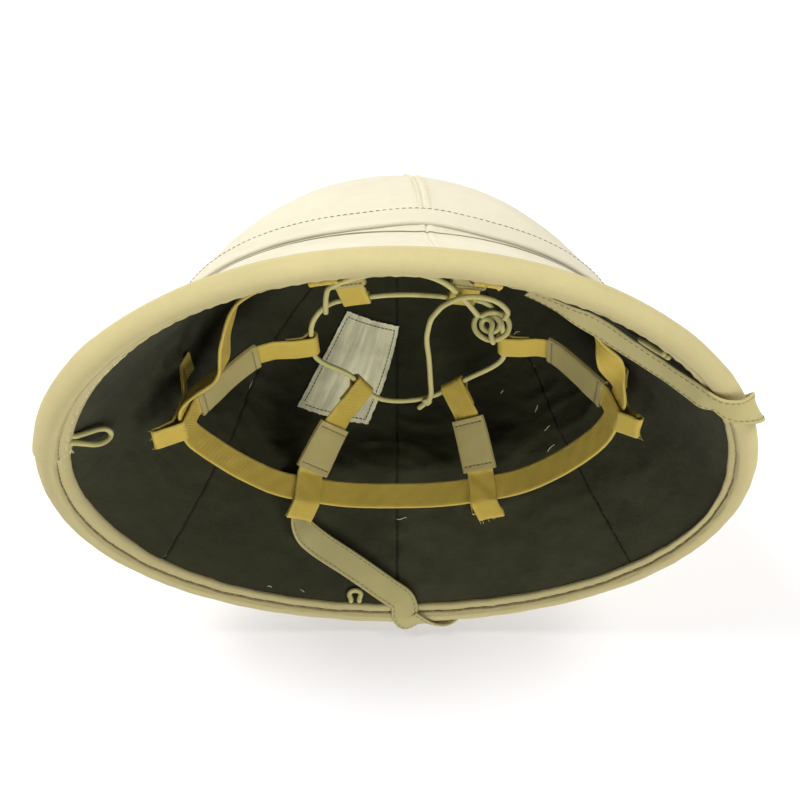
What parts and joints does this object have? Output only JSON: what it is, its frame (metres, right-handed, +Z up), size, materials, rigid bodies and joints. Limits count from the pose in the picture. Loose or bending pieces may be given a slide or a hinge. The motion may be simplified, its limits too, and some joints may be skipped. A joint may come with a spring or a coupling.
{
  "type": "pith helmet",
  "caption": "Cloth-covered sun helmet lying on its side, with a flared brim, dark lining, webbing head harness drawn in by a cord, and a cloth chin strap.",
  "frame": {"origin": "centre of the box of the lying helmet, on the floor under it", "axes": "+X along the helmet's length, +Z up from the floor; the opening looks towards -Y and up, and the crown's top points towards +Y and down"},
  "size_m": [0.3398, 0.2378, 0.244],
  "materials": {
    "cover_cloth": "cream to khaki cotton drill, matt",
    "pith": "pale soft pith, hidden between cover and lining",
    "lining_cloth": "dark olive cotton, matt",
    "webbing": "ochre woven cotton webbing",
    "sleeve_cloth": "grey-khaki cotton, matt",
    "cord": "pale yellow-green braided cord",
    "label_cloth": "off-white cotton tape, blank",
    "chin_strap_cloth": "khaki cotton drill, folded and edge-stitched"
  },
  "bodies": {
    "root": {"brim_cover": "cover_cloth", "chin_strap": "chin_strap_cloth", "cord_loop_left": "cord", "cord_loop_lower": "cord", "cord_loop_upper_right": "cord", "crown_cover": "cover_cloth", "drawcord": "cord", "drawcord_knot": "cord", "drawcord_strand": "cord", "drawcord_tail": "cord", "edge_binding": "cover_cloth", "hat_band": "cover_cloth", "headband": "webbing", "label": "label_cloth", "lining": "lining_cloth", "pith_shell": "pith", "sleeve_left": "sleeve_cloth", "sleeve_lower_left": "sleeve_cloth", "sleeve_lower_right": "sleeve_cloth", "sleeve_right": "sleeve_cloth", "sleeve_upper_left": "sleeve_cloth", "sleeve_upper_right": "sleeve_cloth", "strap_left": "webbing", "strap_lower_left": "webbing", "strap_lower_right": "webbing", "strap_right": "webbing", "strap_upper_left": "webbing", "strap_upper_right": "webbing"}
  },
  "joints": []
}
